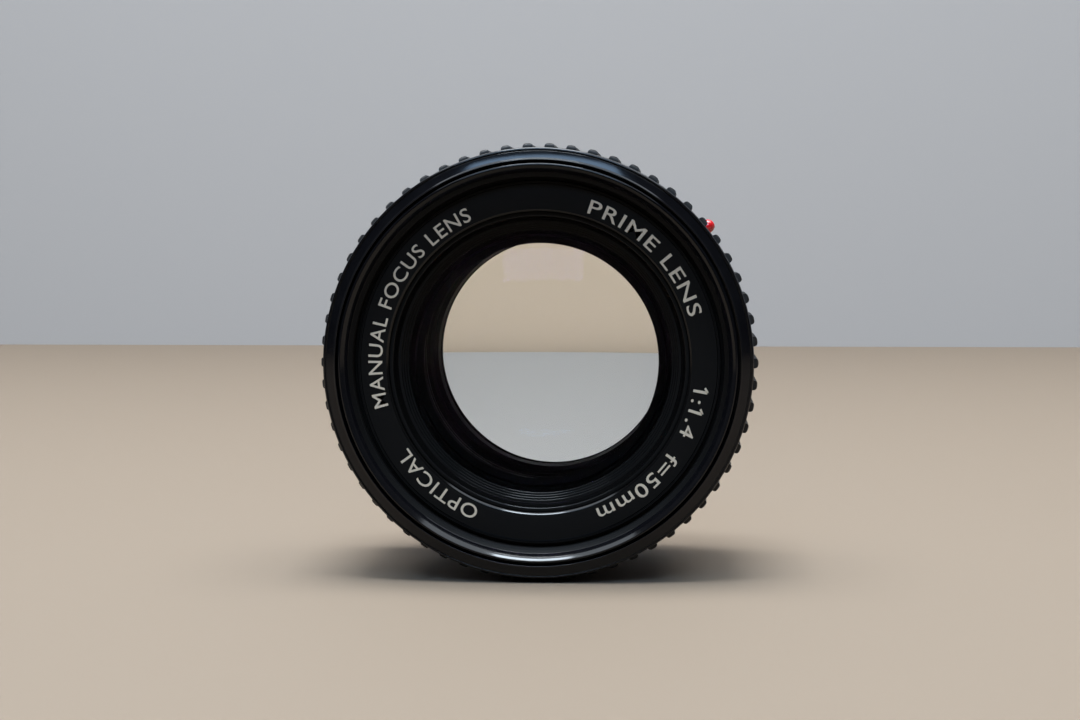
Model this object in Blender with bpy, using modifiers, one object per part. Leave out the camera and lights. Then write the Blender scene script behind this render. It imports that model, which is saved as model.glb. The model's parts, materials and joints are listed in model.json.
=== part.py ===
# Prime camera lens, 50 mm f/1.4, manual focus, lying on its side.
# World frame: +Z up, front of the lens to -Y, mounting flange normal to +Y, origin under the middle.
# Every part hangs from one empty on the optical axis. In the empty's frame +Z runs forward out of
# the front, +X is to the right and +Y is up, and height 0 is the face of the mounting flange.
# All the constants below are millimetres and degrees.
import math

import bmesh
import bpy
from mathutils import Matrix, Vector

MM = 0.001
OBJECT_NAME = "prime_lens"

# Overall
RIM_FORWARD = 42.0
REAR_REACH = 6.1
GRIP_TIP_RADIUS = 31.95
RIDGE_COUNT = 62
AXIS_HEIGHT = GRIP_TIP_RADIUS * math.cos(math.pi / RIDGE_COUNT)
FLANGE_Y = (RIM_FORWARD - REAR_REACH) / 2
GAP = 0.3

# Roundness of the turned parts
OUTER_STEPS = 36
INNER_STEPS = 30
GLASS_STEPS = 20

# Mount
FLANGE_RADIUS = 29.4
FLANGE_THICK = 1.6
PILOT_RADIUS = 22.45
PILOT_BORE = 21.2
PILOT_REACH = 4.6
LUG_RADIUS = 23.9
LUG_THICK = 1.4
LUG_WIDTH_DEG = 52.0
SCREW_CIRCLE = 27.3
MOUNT_SCREWS = 5
FIRST_SCREW_ANGLE = 18.0
LOCK_SLOT_ANGLE = 150.0
BEAD_ANGLE = 39.0
BEAD_HEIGHT = 3.9

# Fixed barrel
BARREL_RADIUS = 28.6
BARREL_BORE = 26.0
BARREL_BACK = 1.9
HELICOID_RADIUS = 27.5
HELICOID_BACK = 17.4
HELICOID_FRONT = 31.0
LEDGE_BACK = 3.6
LEDGE_FRONT = 4.6
LEDGE_BORE = 24.4
SLEEVE_BORE = BARREL_RADIUS + GAP

# Rings on the outside, back to front
SKIRT_RADIUS = 31.3
SKIRT_FRONT = 5.6
STOP_RING_RADIUS = 31.4
STOP_RING_BACK = 5.9
STOP_RING_FRONT = 12.6
SCALE_RING_BACK = 12.9
SCALE_RING_FRONT = 17.6
FOCUS_BACK = 18.0
FOCUS_RADIUS = 31.3
GRIP_BACK = 23.5
GRIP_FRONT = 38.6
GRIP_SEAT = 30.7
GRIP_VALLEY = 31.4
NOSE_RADIUS = 31.2
HELICOID_SCREW_HEIGHT = 30.0
SCALE_SCREW_HEIGHT = 14.2

# Sliding lens head
HEAD_RADIUS = 25.7
HEAD_BORE = 24.4
HEAD_BACK = 5.0
HEAD_FRONT = 35.6
CATCH_BACK = 36.0
CATCH_FRONT = 37.3
LIP_RADIUS = 29.2
FILTER_THREAD_RADIUS = 27.5
NAME_RING_OUTER = 26.5
NAME_RING_INNER = 22.2
NAME_RING_FRONT = 38.6

# Glass: face radii (positive when the centre lies behind the face), middle thickness, rim radius,
# radius where each face stops being curved, and the gap behind the element
ELEMENTS = (
    dict(front=42.7, back=173.0, thick=4.9, rim=20.3, gap=0.3),
    dict(front=26.2, back=41.7, thick=4.4, rim=18.0, gap=1.7),
    dict(front=53.6, back=18.5, thick=1.4, rim=16.5, gap=14.9, back_clear=13.6),
    dict(front=-19.3, back=65.3, thick=1.3, rim=15.5, gap=0.1, front_clear=12.9),
    dict(front=65.3, back=-33.2, thick=6.9, rim=16.0, gap=0.3),
    dict(front=-90.0, back=-32.0, thick=4.2, rim=16.3, gap=0.3),
    dict(front=90.0, back=-240.0, thick=3.0, rim=16.3, gap=0.0),
)
FRONT_VERTEX = 38.2
RIM_CHAMFER = 1.3
FACE_RINGS = 3

# Diaphragm
BLADES = 6
OPEN_RADIUS = 13.2
BLADE_THICK = 0.1
BLADE_PITCH = 0.2
BLADE_BACK = 17.2
BLADE_INNER = 13.3
BLADE_OUTER = 19.4
BLADE_SPAN_DEG = 126.0
PIVOT_CIRCLE = 20.3
DRIVE_PIN_DEG = 14.0
EAR_RADIUS = 21.2
PIN_RADIUS = 0.5
PIN_HOLE_RADIUS = 0.75
CLOSE_DEG = 37.5
LEVER_TURN_DEG = 25.0
PLATE_BACK = 16.2
PLATE_FRONT = 16.9
CAM_BACK = 18.5
CAM_FRONT = 19.15
CAM_RADIUS = 21.7
CAM_BORE = 14.6
HOUSING_RADIUS = 23.0
HOUSING_BORE = 22.2

# Stop-down mechanism
LEVER_ANGLE = 200.0
LEVER_WIDTH = 2.8
PRONG_ANGLE = 20.0
PRONG_INNER = 23.35
PRONG_OUTER = 24.05
PRONG_WIDTH = 3.0
PRONG_FRONT = 26.3
DRIVER_BACK = 2.2
DRIVER_FRONT = 3.3
DRIVER_RADIUS = 25.7
DRIVER_BORE = 22.0

# Aperture ring
METER_LUG_ANGLE = -146.0
METER_LUG_WIDTH = 7.0
CLICKS = 8
CLICK_STEP_DEG = 50.0 / 7
CLICK_ANGLE = 155.0
CLICK_HEIGHT = 9.3
BALL_RADIUS = 0.75
POCKET_RADIUS = 1.0
POCKET_FLOOR = 26.35

# Guide keys
KEY_WIDTH = 4.0
KEY_OUTER = 26.8
KEY_SLOT_OUTER = 27.0
KEY_LENGTH = 4.8
KEY_ANGLES = (0.0, 180.0)

FINISHES = {
    "black_anodised": ((0.018, 0.018, 0.02), 0.35, 0.6),
    "inner_black": ((0.012, 0.012, 0.013), 0.6, 0.3),
    "grip_rubber": ((0.02, 0.02, 0.021), 0.7, 0.0),
    "satin_chrome": ((0.62, 0.62, 0.6), 0.28, 1.0),
    "bearing_brass": ((0.55, 0.4, 0.16), 0.35, 1.0),
    "steel": ((0.45, 0.45, 0.46), 0.35, 1.0),
    "blade_steel": ((0.03, 0.03, 0.035), 0.4, 0.9),
    "optical_glass": ((0.9, 0.95, 0.95), 0.02, 0.0),
    "index_red": ((0.6, 0.02, 0.015), 0.3, 0.0),
}


def clear_scene():
    for old in list(bpy.data.objects):
        bpy.data.objects.remove(old, do_unlink=True)


def make_collection(name):
    collection = bpy.data.collections.new(name)
    bpy.context.scene.collection.children.link(collection)
    return collection


def make_materials():
    materials = {}
    for name, (color, roughness, metallic) in FINISHES.items():
        material = bpy.data.materials.new(name)
        material.use_nodes = True
        shader = material.node_tree.nodes["Principled BSDF"]
        shader.inputs["Base Color"].default_value = (*color, 1.0)
        shader.inputs["Roughness"].default_value = roughness
        shader.inputs["Metallic"].default_value = metallic
        material.diffuse_color = (*color, 1.0)
        materials[name] = material
    return materials


clear_scene()
PARTS = make_collection(OBJECT_NAME)
CUTTERS = make_collection(OBJECT_NAME + "_cutters")
MATERIALS = make_materials()

AXIS = bpy.data.objects.new("optical_axis", None)
AXIS.location = (0.0, FLANGE_Y * MM, AXIS_HEIGHT * MM)
AXIS.rotation_euler = (math.radians(90.0), 0.0, 0.0)
PARTS.objects.link(AXIS)


# ---------------------------------------------------------------- helpers

def polar(radius, degrees):
    angle = math.radians(degrees)
    return (radius * math.cos(angle), radius * math.sin(angle))


def arc(radius, start, end, steps):
    return [polar(radius, start + (end - start) * i / steps) for i in range(steps + 1)]


def place(obj, finish, centre=(0.0, 0.0), turn=0.0):
    """Hang an object from the axis and give it its finish."""
    obj.parent = AXIS
    obj.location = (centre[0] * MM, centre[1] * MM, 0.0)
    obj.rotation_euler = (0.0, 0.0, math.radians(turn))
    obj.data.materials.clear()
    obj.data.materials.append(MATERIALS[finish])
    return obj


def turned(name, outline, finish, steps=OUTER_STEPS, closed=True):
    """A turned part from (radius, forward) points that run down the outer side."""
    mesh = bpy.data.meshes.new(name)
    points = [(r * MM, 0.0, s * MM) for r, s in outline]
    edges = [(i, i + 1) for i in range(len(points) - 1)]
    if closed:
        edges.append((len(points) - 1, 0))
    mesh.from_pydata(points, edges, [])
    obj = bpy.data.objects.new(name, mesh)
    PARTS.objects.link(obj)
    screw = obj.modifiers.new("turn", "SCREW")
    screw.axis = "Z"
    screw.angle = 2 * math.pi
    screw.steps = steps
    screw.render_steps = steps
    screw.use_merge_vertices = True
    screw.merge_threshold = 0.00001
    screw.use_smooth_shade = False
    return place(obj, finish)


def band(inner, outer, back, front):
    return [(outer, front), (outer, back), (inner, back), (inner, front)]


def plate_mesh(name, outline, back, front, holes=()):
    """A flat plate of (x, y) outline points with holes, standing between two heights."""
    curve = bpy.data.curves.new(name, "CURVE")
    curve.dimensions = "2D"
    curve.fill_mode = "BOTH"
    curve.extrude = (front - back) / 2 * MM
    for points in (outline, *holes):
        spline = curve.splines.new("POLY")
        spline.points.add(len(points) - 1)
        for point, (x, y) in zip(spline.points, points):
            point.co = (x * MM, y * MM, 0.0, 1.0)
        spline.use_cyclic_u = True
    flat = bpy.data.objects.new(name, curve)
    PARTS.objects.link(flat)
    bpy.context.view_layer.update()
    evaluated = flat.evaluated_get(bpy.context.evaluated_depsgraph_get())
    mesh = bpy.data.meshes.new_from_object(evaluated)
    bpy.data.objects.remove(flat)
    bpy.data.curves.remove(curve)
    work = bmesh.new()
    work.from_mesh(mesh)
    bmesh.ops.remove_doubles(work, verts=work.verts, dist=0.000001)
    bmesh.ops.translate(work, verts=work.verts, vec=(0.0, 0.0, (front + back) / 2 * MM))
    bmesh.ops.recalc_face_normals(work, faces=work.faces)
    work.to_mesh(mesh)
    work.free()
    return mesh


def plate(name, outline, back, front, finish, holes=(), centre=(0.0, 0.0), turn=0.0):
    obj = bpy.data.objects.new(name, plate_mesh(name, outline, back, front, holes))
    PARTS.objects.link(obj)
    return place(obj, finish, centre, turn)


def round_bar(name, stations, sides, direction=None, base=(0.0, 0.0, 0.0)):
    """A round bar whose (radius, distance) stations run along a direction from a base point."""
    work = bmesh.new()
    for (r0, d0), (r1, d1) in zip(stations, stations[1:]):
        if d1 > d0:
            cone = bmesh.ops.create_cone(work, cap_ends=False, segments=sides, radius1=r0 * MM,
                                         radius2=r1 * MM, depth=(d1 - d0) * MM)
            bmesh.ops.translate(work, verts=cone["verts"], vec=(0.0, 0.0, (d0 + d1) / 2 * MM))
        else:
            loop = [bmesh.ops.create_circle(work, segments=sides, radius=r * MM)["verts"]
                    for r in (r0, r1)]
            bmesh.ops.translate(work, verts=loop[0] + loop[1], vec=(0.0, 0.0, d0 * MM))
            edges = {edge for vert in loop[0] + loop[1] for edge in vert.link_edges}
            bmesh.ops.bridge_loops(work, edges=list(edges))
    bmesh.ops.remove_doubles(work, verts=work.verts, dist=0.000001)
    bmesh.ops.holes_fill(work, edges=work.edges, sides=sides)
    bmesh.ops.recalc_face_normals(work, faces=work.faces)
    if direction is not None:
        tilt = Vector(direction).to_track_quat("Z", "Y").to_matrix().to_4x4()
        bmesh.ops.transform(work, matrix=tilt, verts=work.verts)
    bmesh.ops.translate(work, verts=work.verts, vec=[value * MM for value in base])
    mesh = bpy.data.meshes.new(name)
    work.to_mesh(mesh)
    work.free()
    return mesh


def add_part(name, mesh, finish, centre=(0.0, 0.0), turn=0.0):
    obj = bpy.data.objects.new(name, mesh)
    PARTS.objects.link(obj)
    return place(obj, finish, centre, turn)


def combine(target, mesh, operation, centre=(0.0, 0.0), turn=0.0):
    """Cut a shape out of a part, or join it on, with a hidden cutter."""
    cutter = bpy.data.objects.new(target.name + "_" + operation.lower(), mesh)
    CUTTERS.objects.link(cutter)
    cutter.parent = AXIS
    cutter.location = (centre[0] * MM, centre[1] * MM, 0.0)
    cutter.rotation_euler = (0.0, 0.0, math.radians(turn))
    cutter.hide_render = True
    cutter.display_type = "WIRE"
    change = target.modifiers.new(operation.lower(), "BOOLEAN")
    change.operation = operation
    change.solver = "EXACT"
    change.object = cutter
    return cutter


def radial_bar(name, stations, sides, angle, height):
    """A round bar along the radius at an angle and height; its stations are radii from the axis."""
    x, y = polar(1.0, angle)
    return round_bar(name, stations, sides, (x, y, 0.0), (0.0, 0.0, height))


def block(name, inner, outer, width, back, front):
    """A block standing on the +X side of the axis."""
    half = width / 2
    outline = [(inner, -half), (outer, -half), (outer, half), (inner, half)]
    return plate_mesh(name, outline, back, front)


def side_plate(name, outline, width, finish, angle):
    """A plate cut to a (radius, forward) outline that stands along the radius at an angle."""
    mesh = plate_mesh(name, outline, -width / 2, width / 2)
    mesh.transform(Matrix.Rotation(math.radians(90.0), 4, "X"))
    return add_part(name, mesh, finish, turn=angle)


# ---------------------------------------------------------------- glass

def sag(radius, height):
    return height * height / radius / (1 + math.sqrt(1 - (height / radius) ** 2))


def face_points(vertex, radius, clear, rim):
    """Points from the middle of a face out to its rim, with a flat past the clear radius."""
    points = []
    for i in range(FACE_RINGS + 1):
        r = clear * i / FACE_RINGS
        points.append((r, vertex - sag(radius, r)))
    if clear < rim:
        flat_end = rim - RIM_CHAMFER
        points.append((flat_end, points[-1][1]))
        inward = -RIM_CHAMFER if radius < 0 else RIM_CHAMFER
        points.append((rim, points[-1][1] + inward))
    return points


def make_glass():
    """The seven elements, front to back."""
    vertex = FRONT_VERTEX
    for number, element in enumerate(ELEMENTS, 1):
        rim = element["rim"]
        front = face_points(vertex, element["front"], element.get("front_clear", rim), rim)
        vertex -= element["thick"]
        back = face_points(vertex, element["back"], element.get("back_clear", rim), rim)
        outline = front + back[::-1]
        turned(f"glass_{number}", outline, "optical_glass", GLASS_STEPS, closed=False)
        vertex -= element["gap"]


# ---------------------------------------------------------------- fixed barrel and mount

def screw_place(i):
    return polar(SCREW_CIRCLE, FIRST_SCREW_ANGLE + 360.0 / MOUNT_SCREWS * i)


def make_bayonet():
    outline = [(FLANGE_RADIUS, FLANGE_THICK), (FLANGE_RADIUS, 0.0), (PILOT_RADIUS, 0.0),
               (PILOT_RADIUS, -PILOT_REACH), (PILOT_BORE, -PILOT_REACH), (PILOT_BORE, FLANGE_THICK)]
    bayonet = turned("bayonet_mount", outline, "satin_chrome")
    half = LUG_WIDTH_DEG / 2
    root = PILOT_RADIUS - 0.6
    lug = arc(LUG_RADIUS, -half, half, 6) + arc(root, half, -half, 6)
    for turn in (90.0, 210.0, 330.0):
        mesh = plate_mesh("lug", lug, -PILOT_REACH + 0.1, -PILOT_REACH + 0.1 + LUG_THICK)
        combine(bayonet, mesh, "UNION", turn=turn)
    for i in range(MOUNT_SCREWS):
        hole = round_bar("screw_hole", [(1.7, -0.2), (1.0, 0.9), (1.0, FLANGE_THICK + 0.2)], 12)
        combine(bayonet, hole, "DIFFERENCE", screw_place(i))
    lock_slot = block("lock_slot", 24.2, 25.6, 3.2, -0.2, FLANGE_THICK + 0.2)
    combine(bayonet, lock_slot, "DIFFERENCE", turn=LOCK_SLOT_ANGLE)


def make_mount_screws():
    for i in range(MOUNT_SCREWS):
        mesh = round_bar("mount_screw", [(1.3, 0.05), (0.7, 0.9), (0.6, 4.2)], 10)
        add_part(f"mount_screw_{i + 1}", mesh, "steel", screw_place(i))


def make_rear_barrel():
    outline = [(HELICOID_RADIUS, HELICOID_FRONT), (HELICOID_RADIUS, HELICOID_BACK),
               (BARREL_RADIUS, HELICOID_BACK), (BARREL_RADIUS, BARREL_BACK), (BARREL_BORE, BARREL_BACK),
               (BARREL_BORE, LEDGE_BACK), (LEDGE_BORE, LEDGE_BACK), (LEDGE_BORE, LEDGE_FRONT),
               (BARREL_BORE, LEDGE_FRONT), (BARREL_BORE, HELICOID_FRONT)]
    barrel = turned("rear_barrel", outline, "black_anodised")
    for angle in KEY_ANGLES:
        slot = block("key_slot", 25.2, KEY_SLOT_OUTER, KEY_WIDTH + 2 * GAP, LEDGE_FRONT + GAP,
                     HELICOID_FRONT + 0.2)
        combine(barrel, slot, "DIFFERENCE", turn=angle)
    for i in range(MOUNT_SCREWS):
        hole = round_bar("tapped_hole", [(0.9, 1.6), (0.9, 4.6)], 10)
        combine(barrel, hole, "DIFFERENCE", screw_place(i))
    pocket = radial_bar("ball_pocket", [(POCKET_RADIUS, POCKET_FLOOR), (POCKET_RADIUS, 29.2)], 12,
                        CLICK_ANGLE, CLICK_HEIGHT)
    combine(barrel, pocket, "DIFFERENCE")


def make_outer_rings():
    skirt = turned("mount_skirt", [(SKIRT_RADIUS, SKIRT_FRONT), (SKIRT_RADIUS, 2.6),
                                   (30.4, BARREL_BACK), (SLEEVE_BORE, BARREL_BACK),
                                   (SLEEVE_BORE, SKIRT_FRONT)], "black_anodised")
    seat = radial_bar("bead_seat", [(1.35, 29.8), (1.35, 31.9)], 16, BEAD_ANGLE, BEAD_HEIGHT)
    combine(skirt, seat, "DIFFERENCE")
    bead = radial_bar("index_bead", [(1.05, 30.1), (1.05, 32.2), (0.8, 32.75), (0.35, 33.0)], 16,
                      BEAD_ANGLE, BEAD_HEIGHT)
    add_part("index_bead", bead, "index_red")
    scale = turned("depth_scale_ring", band(SLEEVE_BORE, 31.0, SCALE_RING_BACK, SCALE_RING_FRONT),
                   "black_anodised")
    for i in range(3):
        angle = 135.0 + 120.0 * i
        hole = radial_bar("set_screw_hole", [(0.85, 28.5), (0.85, 31.4)], 10, angle, SCALE_SCREW_HEIGHT)
        combine(scale, hole, "DIFFERENCE")
        screw = radial_bar("set_screw", [(0.55, 28.95), (0.55, 30.8)], 10, angle, SCALE_SCREW_HEIGHT)
        add_part(f"scale_screw_{i + 1}", screw, "steel")


def make_rear_cover():
    """A thin plate inside the mount, open where the stop-down lever swings."""
    inner, outer = 18.6, PILOT_BORE - GAP
    start = LEVER_ANGLE + LEVER_TURN_DEG + 12.0
    end = LEVER_ANGLE - 12.0 + 360.0
    outline = arc(outer, start, end, 30) + arc(inner, end, start, 30)
    plate("rear_cover", outline, 0.3, 1.2, "inner_black")


def coil(name, radius, wire, length, turns, finish, base, direction, per_turn=8):
    """A small coil spring from a base point along a direction."""
    curve = bpy.data.curves.new(name, "CURVE")
    curve.dimensions = "3D"
    curve.bevel_depth = wire * MM
    curve.bevel_resolution = 0
    curve.use_fill_caps = True
    spline = curve.splines.new("POLY")
    count = int(turns * per_turn)
    spline.points.add(count)
    for i, point in enumerate(spline.points):
        x, y = polar(radius, 360.0 * i / per_turn)
        point.co = (x * MM, y * MM, length * i / count * MM, 1.0)
    obj = bpy.data.objects.new(name, curve)
    PARTS.objects.link(obj)
    place(obj, finish)
    obj.rotation_euler = Vector(direction).to_track_quat("Z", "Y").to_euler()
    obj.location = [value * MM for value in base]


def make_click():
    x, y = polar(1.0, CLICK_ANGLE)
    ball_centre = BARREL_RADIUS + 0.1 - BALL_RADIUS
    work = bmesh.new()
    bmesh.ops.create_uvsphere(work, u_segments=12, v_segments=8, radius=BALL_RADIUS * MM)
    mesh = bpy.data.meshes.new("click_ball")
    work.to_mesh(mesh)
    work.free()
    ball = add_part("click_ball", mesh, "steel")
    ball.location = (ball_centre * x * MM, ball_centre * y * MM, CLICK_HEIGHT * MM)
    start = POCKET_FLOOR + 0.2
    coil("click_spring", 0.55, 0.12, 0.4, 2, "steel", (start * x, start * y, CLICK_HEIGHT), (x, y, 0.0))


# ---------------------------------------------------------------- aperture ring

def make_aperture_ring():
    outline = [(STOP_RING_RADIUS - 0.4, STOP_RING_FRONT), (STOP_RING_RADIUS, STOP_RING_FRONT - 0.4),
               (STOP_RING_RADIUS, STOP_RING_BACK + 0.4), (STOP_RING_RADIUS - 0.4, STOP_RING_BACK),
               (SLEEVE_BORE, STOP_RING_BACK), (SLEEVE_BORE, STOP_RING_FRONT)]
    ring = turned("aperture_ring", outline, "black_anodised")
    for i in range(CLICKS):
        angle = CLICK_ANGLE + CLICK_STEP_DEG * i
        notch = radial_bar("notch", [(0.9, 28.2), (0.4, 29.35)], 8, angle, CLICK_HEIGHT)
        combine(ring, notch, "DIFFERENCE")
    lug = [(SKIRT_RADIUS + GAP, 1.2), (33.8, 1.2), (33.8, 5.2), (32.4, 8.2), (STOP_RING_RADIUS + 0.2, 8.2)]
    side_plate("meter_lug", lug, METER_LUG_WIDTH, "black_anodised", METER_LUG_ANGLE)


# ---------------------------------------------------------------- stop-down mechanism

def make_driver():
    turned("stop_down_ring", band(DRIVER_BORE, DRIVER_RADIUS, DRIVER_BACK, DRIVER_FRONT), "steel",
           INNER_STEPS)
    lever = [(19.9, -4.2), (20.9, -4.2), (20.9, DRIVER_BACK), (21.7, DRIVER_BACK),
             (21.7, DRIVER_FRONT), (19.9, DRIVER_FRONT)]
    side_plate("stop_down_lever", lever, LEVER_WIDTH, "steel", LEVER_ANGLE)
    foot = DRIVER_FRONT + 0.2
    prong = [(22.2, foot), (PRONG_OUTER, foot), (PRONG_OUTER, PRONG_FRONT), (PRONG_INNER, PRONG_FRONT),
             (PRONG_INNER, foot + 0.8), (22.2, foot + 0.8)]
    side_plate("drive_prong", prong, PRONG_WIDTH, "steel", PRONG_ANGLE)
    x, y = polar(21.9, 262.0)
    coil("return_spring", 0.6, 0.12, 7.0, 6, "steel", (x, y, 5.6), (*polar(1.0, 172.0), 0.0), 6)


# ---------------------------------------------------------------- focus ring

def make_focus_ring():
    outline = [(29.5, RIM_FORWARD - 0.1), (30.95, 41.4), (NOSE_RADIUS, 41.0), (NOSE_RADIUS, GRIP_FRONT + GAP),
               (GRIP_SEAT, GRIP_FRONT + GAP), (GRIP_SEAT, GRIP_BACK - GAP),
               (FOCUS_RADIUS, GRIP_BACK - GAP), (FOCUS_RADIUS, FOCUS_BACK), (29.6, FOCUS_BACK),
               (29.6, CATCH_BACK), (HEAD_RADIUS + 0.6, CATCH_BACK), (HEAD_RADIUS + 0.6, CATCH_FRONT),
               (29.5, CATCH_FRONT)]
    ring = turned("focus_ring", outline, "black_anodised")
    helicoid = turned("focus_helicoid", band(HELICOID_RADIUS + GAP, 29.3, 18.2, 33.0), "bearing_brass")
    for i in range(3):
        angle = 35.0 + 120.0 * i
        hole = radial_bar("head_hole", [(1.3, 29.4), (1.3, 31.4)], 10, angle, HELICOID_SCREW_HEIGHT)
        combine(ring, hole, "DIFFERENCE")
        tapped = radial_bar("tapped_hole", [(0.9, 27.5), (0.9, 29.6)], 10, angle,
                            HELICOID_SCREW_HEIGHT)
        combine(helicoid, tapped, "DIFFERENCE")
        screw = radial_bar("helicoid_screw", [(0.6, 27.9), (0.6, 29.55), (1.0, 29.55), (1.0, 30.6)], 10,
                           angle, HELICOID_SCREW_HEIGHT)
        add_part(f"helicoid_screw_{i + 1}", screw, "steel")


def make_grip():
    """A rubber sleeve with rounded ribs, a groove straight down and one straight up."""
    step = 360.0 / RIDGE_COUNT
    outline = []
    inner = []
    for i in range(RIDGE_COUNT):
        middle = step * i
        outline.append(polar(GRIP_VALLEY, middle - 0.36 * step))
        outline.append(polar(GRIP_TIP_RADIUS, middle))
        outline.append(polar(GRIP_VALLEY, middle + 0.36 * step))
        if i % 2 == 0:
            inner.append(polar(GRIP_SEAT + GAP, middle))
    plate("rubber_grip", outline, GRIP_BACK, GRIP_FRONT, "grip_rubber", [inner])


# ---------------------------------------------------------------- sliding head

def make_head():
    outline = [(LIP_RADIUS, HEAD_FRONT), (LIP_RADIUS, 34.3), (HEAD_RADIUS, 34.3), (HEAD_RADIUS, HEAD_BACK),
               (HEAD_BORE, HEAD_BACK), (HEAD_BORE, 26.8), (22.3, 26.8), (22.3, 28.0), (HEAD_BORE, 28.0),
               (HEAD_BORE, HEAD_FRONT)]
    turned("head_barrel", outline, "inner_black")
    for i, angle in enumerate(KEY_ANGLES):
        key = block("guide_key", HEAD_RADIUS + 0.25, KEY_OUTER, KEY_WIDTH, HEAD_BACK + 0.2,
                    HEAD_BACK + 0.2 + KEY_LENGTH)
        add_part(f"guide_key_{i + 1}", key, "steel", turn=angle)
    thread = FILTER_THREAD_RADIUS
    outline = [(28.8, RIM_FORWARD), (LIP_RADIUS, RIM_FORWARD - 0.5), (LIP_RADIUS, 37.7), (26.0, 37.7),
               (26.0, HEAD_FRONT + GAP), (23.0, HEAD_FRONT + GAP), (23.0, 37.6), (26.8, 37.6),
               (thread - 0.1, 41.2), (thread + 0.3, RIM_FORWARD - 0.3), (28.3, RIM_FORWARD)]
    turned("filter_ring", outline, "black_anodised")
    turned("name_ring", band(NAME_RING_INNER, NAME_RING_OUTER, 37.9, NAME_RING_FRONT), "inner_black",
           INNER_STEPS)
    outline = [(22.0, 37.7), (22.0, 34.4), (20.35, 34.4), (20.35, 33.5), (19.5, 33.9), (19.5, 34.5),
               (20.6, 36.0), (21.6, 37.7)]
    turned("front_retainer", outline, "inner_black", INNER_STEPS)


def make_cells():
    outline = [(22.6, 34.0), (22.6, 29.6), (24.1, 29.6), (24.1, 28.3), (21.9, 28.3), (21.9, 19.4),
               (15.5, 19.4), (16.8, 20.7), (16.8, 24.2), (18.3, 24.2), (18.3, 31.8), (20.6, 31.8),
               (20.6, 34.0)]
    turned("front_cell", outline, "inner_black", INNER_STEPS)
    turned("front_spacer", [(18.0, 32.0), (18.0, 26.2), (16.9, 27.2), (16.9, 32.0)], "inner_black",
           INNER_STEPS)
    outline = [(22.6, 15.7), (22.6, 14.3), (18.0, 14.3), (18.0, -REAR_REACH), (16.6, -REAR_REACH),
               (16.6, 3.9), (16.3, 3.9), (16.3, 7.7), (15.8, 7.7), (15.8, 14.5), (14.55, 15.7)]
    turned("rear_cell", outline, "inner_black", INNER_STEPS)
    turned("middle_spacer", [(16.0, 6.1), (16.0, 3.8), (15.3, 3.8), (15.3, 5.7)], "inner_black",
           INNER_STEPS)
    turned("rear_spacer", [(16.3, 1.95), (16.3, -3.6), (15.4, -3.6), (15.4, 1.4)], "inner_black",
           INNER_STEPS)
    turned("rear_retainer", band(14.9, 16.3, -REAR_REACH, -5.3), "inner_black", INNER_STEPS)


# ---------------------------------------------------------------- diaphragm

def drive_pin_place(closing):
    """Where the first blade's drive pin stands when the blade has closed by an angle."""
    offset = Vector(polar(PIVOT_CIRCLE, DRIVE_PIN_DEG)) - Vector((PIVOT_CIRCLE, 0.0))
    offset.rotate(Matrix.Rotation(math.radians(closing), 2))
    return Vector((PIVOT_CIRCLE, 0.0)) + offset


def cam_slot():
    """A slot that carries the drive pin in at a constant rate as the cam ring turns."""
    steps = 8
    overrun = 2.0
    path = []
    for i in range(steps + 1):
        closing = -overrun + (CLOSE_DEG + 2 * overrun) * i / steps
        point = drive_pin_place(closing)
        point.rotate(Matrix.Rotation(math.radians(-closing * LEVER_TURN_DEG / CLOSE_DEG), 2))
        path.append(point)
    left = []
    right = []
    for i, point in enumerate(path):
        along = (path[min(i + 1, steps)] - path[max(i - 1, 0)]).normalized()
        side = Vector((-along.y, along.x)) * PIN_HOLE_RADIUS
        left.append(point + side)
        right.append(point - side)
    start = (path[0] - path[1]).normalized() * PIN_HOLE_RADIUS * 0.7
    end = (path[-1] - path[-2]).normalized() * PIN_HOLE_RADIUS * 0.7
    caps = [path[-1] + end], [path[0] + start]
    return [tuple(p) for p in left + caps[0] + right[::-1] + caps[1]]


def turn_points(points, degrees):
    spin = Matrix.Rotation(math.radians(degrees), 2)
    return [tuple(spin @ Vector(point)) for point in points]


def make_cam_ring():
    """The ring that drives the blades, with a fork round the drive prong."""
    fork_half = 3.3
    notch_half = PRONG_WIDTH / 2 + GAP
    fork_end = 23.9
    notch_floor = PRONG_INNER - GAP
    fork = [(21.4, -fork_half), (fork_end, -fork_half), (fork_end, -notch_half),
            (notch_floor, -notch_half), (notch_floor, notch_half), (fork_end, notch_half),
            (fork_end, fork_half), (21.4, fork_half)]
    shoulder = math.degrees(math.atan2(fork_half, 21.4))
    outline = turn_points(fork, PRONG_ANGLE) + arc(CAM_RADIUS, PRONG_ANGLE + shoulder + 1.5,
                                                   PRONG_ANGLE + 360.0 - shoulder - 1.5, 34)
    bore = arc(CAM_BORE, 0.0, 350.0, 35)
    slots = [turn_points(cam_slot(), 360.0 / BLADES * i) for i in range(BLADES)]
    plate("cam_ring", outline, CAM_BACK, CAM_FRONT, "steel", [bore, *slots])


def blade_outline():
    """A crescent round the axis with an ear for its two pins, about its own pivot."""
    points = arc(BLADE_INNER, 12.0, BLADE_SPAN_DEG - 3.0, 12)
    points.append(polar((BLADE_INNER + BLADE_OUTER) / 2, BLADE_SPAN_DEG + 1.5))
    points += arc(BLADE_OUTER, BLADE_SPAN_DEG - 2.0, 22.0, 10)
    points += arc(EAR_RADIUS, 17.0, -2.0, 3)
    points += [polar(PIVOT_CIRCLE, -2.9), polar(BLADE_OUTER, -2.0)]
    return [(x - PIVOT_CIRCLE, y) for x, y in points]


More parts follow.
